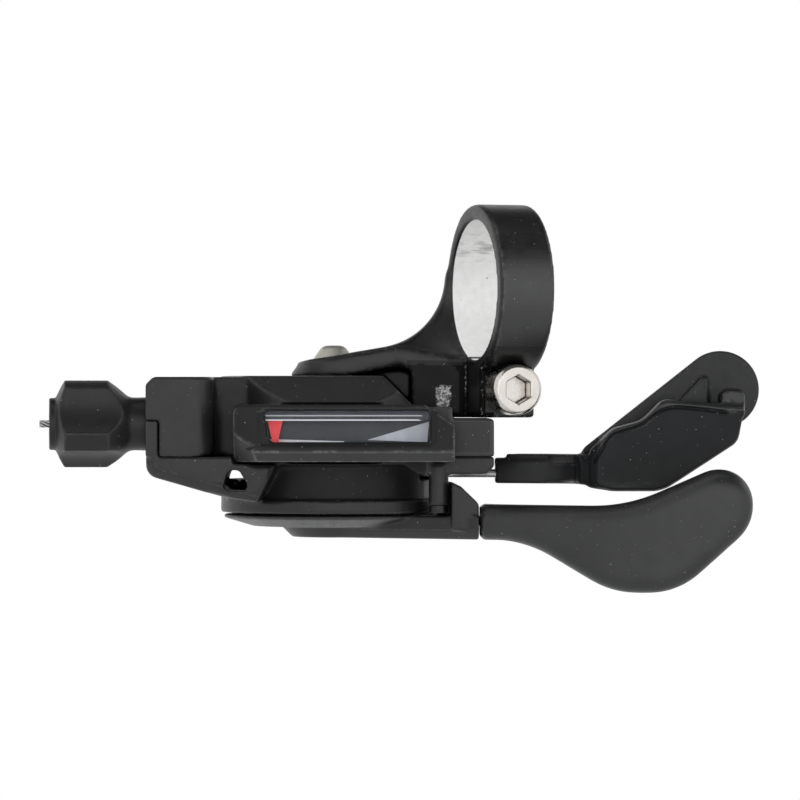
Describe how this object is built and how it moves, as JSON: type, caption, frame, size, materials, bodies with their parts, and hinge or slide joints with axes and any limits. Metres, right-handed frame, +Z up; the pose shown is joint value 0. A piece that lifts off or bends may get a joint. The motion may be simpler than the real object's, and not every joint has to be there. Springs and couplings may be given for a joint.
{
  "type": "trigger gear shifter",
  "caption": "Handlebar trigger gear shifter: clamp and arm carrying a round drum housing with a sliding gear display, thumb paddle, two-way release lever and barrel adjuster.",
  "frame": {"origin": "middle of the handlebar clamp bore", "axes": "+Z up along the main axle, +X toward the tips of the levers, -Y toward the rider"},
  "size_m": [0.1134, 0.047, 0.0609],
  "materials": {
    "body_plastic": "satin moulded black",
    "lever_plastic": "fine satin black",
    "bracket_paint": "black painted casting, bore bare",
    "bolt_steel": "nickel plated",
    "axle_metal": "dull grey zinc",
    "plate_steel": "stamped and tumbled",
    "spring_steel": "drawn wire",
    "lens_clear": "clear polished plastic",
    "scale_dark": "printed dark scale",
    "flag_red": "bright red",
    "drum_plastic": "natural acetal"
  },
  "bodies": {
    "housing": {"clamp_bracket": "bracket_paint", "clamp_bolt": "bolt_steel", "main_axle": "axle_metal", "axle_washer": "plate_steel", "axle_nut": "bolt_steel", "upper_cover": "body_plastic", "inner_hole_cap": "body_plastic", "display_bezel": "body_plastic", "display_lens": "lens_clear", "scale_plate": "scale_dark", "indicator_rail": "spring_steel", "drum_spring": "spring_steel", "inner_cable": "spring_steel", "base_plate": "plate_steel", "pivot_bush": "plate_steel", "position_pawl_pin": "plate_steel", "position_pawl_spring": "spring_steel", "lower_housing": "body_plastic", "housing_screws": "bolt_steel", "release_spring": "spring_steel"},
    "drum": {"winding_drum": "drum_plastic", "cable_head": "spring_steel", "ratchet_wheel": "plate_steel"},
    "pointer": {"indicator_carriage": "flag_red", "indicator_flag": "flag_red"},
    "main_lever": {"main_lever_plate": "plate_steel", "main_lever_cover": "lever_plastic", "main_lever_pad": "lever_plastic", "main_lever_spring": "spring_steel", "feed_pawl_pin": "plate_steel", "feed_pawl_spring": "spring_steel"},
    "feed_pawl_body": {"feed_pawl": "plate_steel"},
    "release_lever": {"release_lever_plate": "plate_steel", "release_lever_pad": "lever_plastic"},
    "position_pawl_body": {"position_pawl": "plate_steel"},
    "adjuster": {"adjuster_knob": "lever_plastic", "adjuster_screw": "plate_steel"}
  },
  "joints": [
    {"name": "main_lever_swing", "type": "hinge", "parent": "housing", "child": "main_lever", "pos_m": [-0.0264, 0.008, -0.0362], "axis": [0, 0, 1], "range_deg": [0, 40], "stiffness_Nm_per_rad": 0.12, "springref_deg": -20.05},
    {"name": "release_lever_swing", "type": "hinge", "parent": "housing", "child": "release_lever", "pos_m": [-0.0264, 0.008, -0.029], "axis": [0, 0, 1], "range_deg": [-7, 7], "stiffness_Nm_per_rad": 0.2},
    {"name": "drum_turn", "type": "hinge", "parent": "housing", "child": "drum", "pos_m": [-0.0264, 0.008, -0.0212], "axis": [0, 0, 1], "range_deg": [0, 120]},
    {"name": "indicator_slide", "type": "slide", "parent": "housing", "child": "pointer", "axis": [1, 0, 0], "range_m": [0, 0.0218]},
    {"name": "position_pawl_swing", "type": "hinge", "parent": "housing", "child": "position_pawl_body", "pos_m": [-0.02862, 0.02061, -0.0308], "axis": [0, 0, -1], "range_deg": [0, 8], "stiffness_Nm_per_rad": 0.004, "springref_deg": -11.46},
    {"name": "feed_pawl_swing", "type": "hinge", "parent": "main_lever", "child": "feed_pawl_body", "pos_m": [-0.03907, 0.00978, -0.0308], "axis": [0, 0, -1], "range_deg": [0, 8], "stiffness_Nm_per_rad": 0.004, "springref_deg": -11.46},
    {"name": "barrel_adjuster_turn", "type": "hinge", "parent": "housing", "child": "adjuster", "pos_m": [-0.0555, -0.00378, -0.0212], "axis": [-0.9962, -0.0872, 0], "continuous": true}
  ],
  "couplings": [
    {"joint": "indicator_slide", "follows": "drum_turn", "m_per_rad": 0.0104}
  ]
}
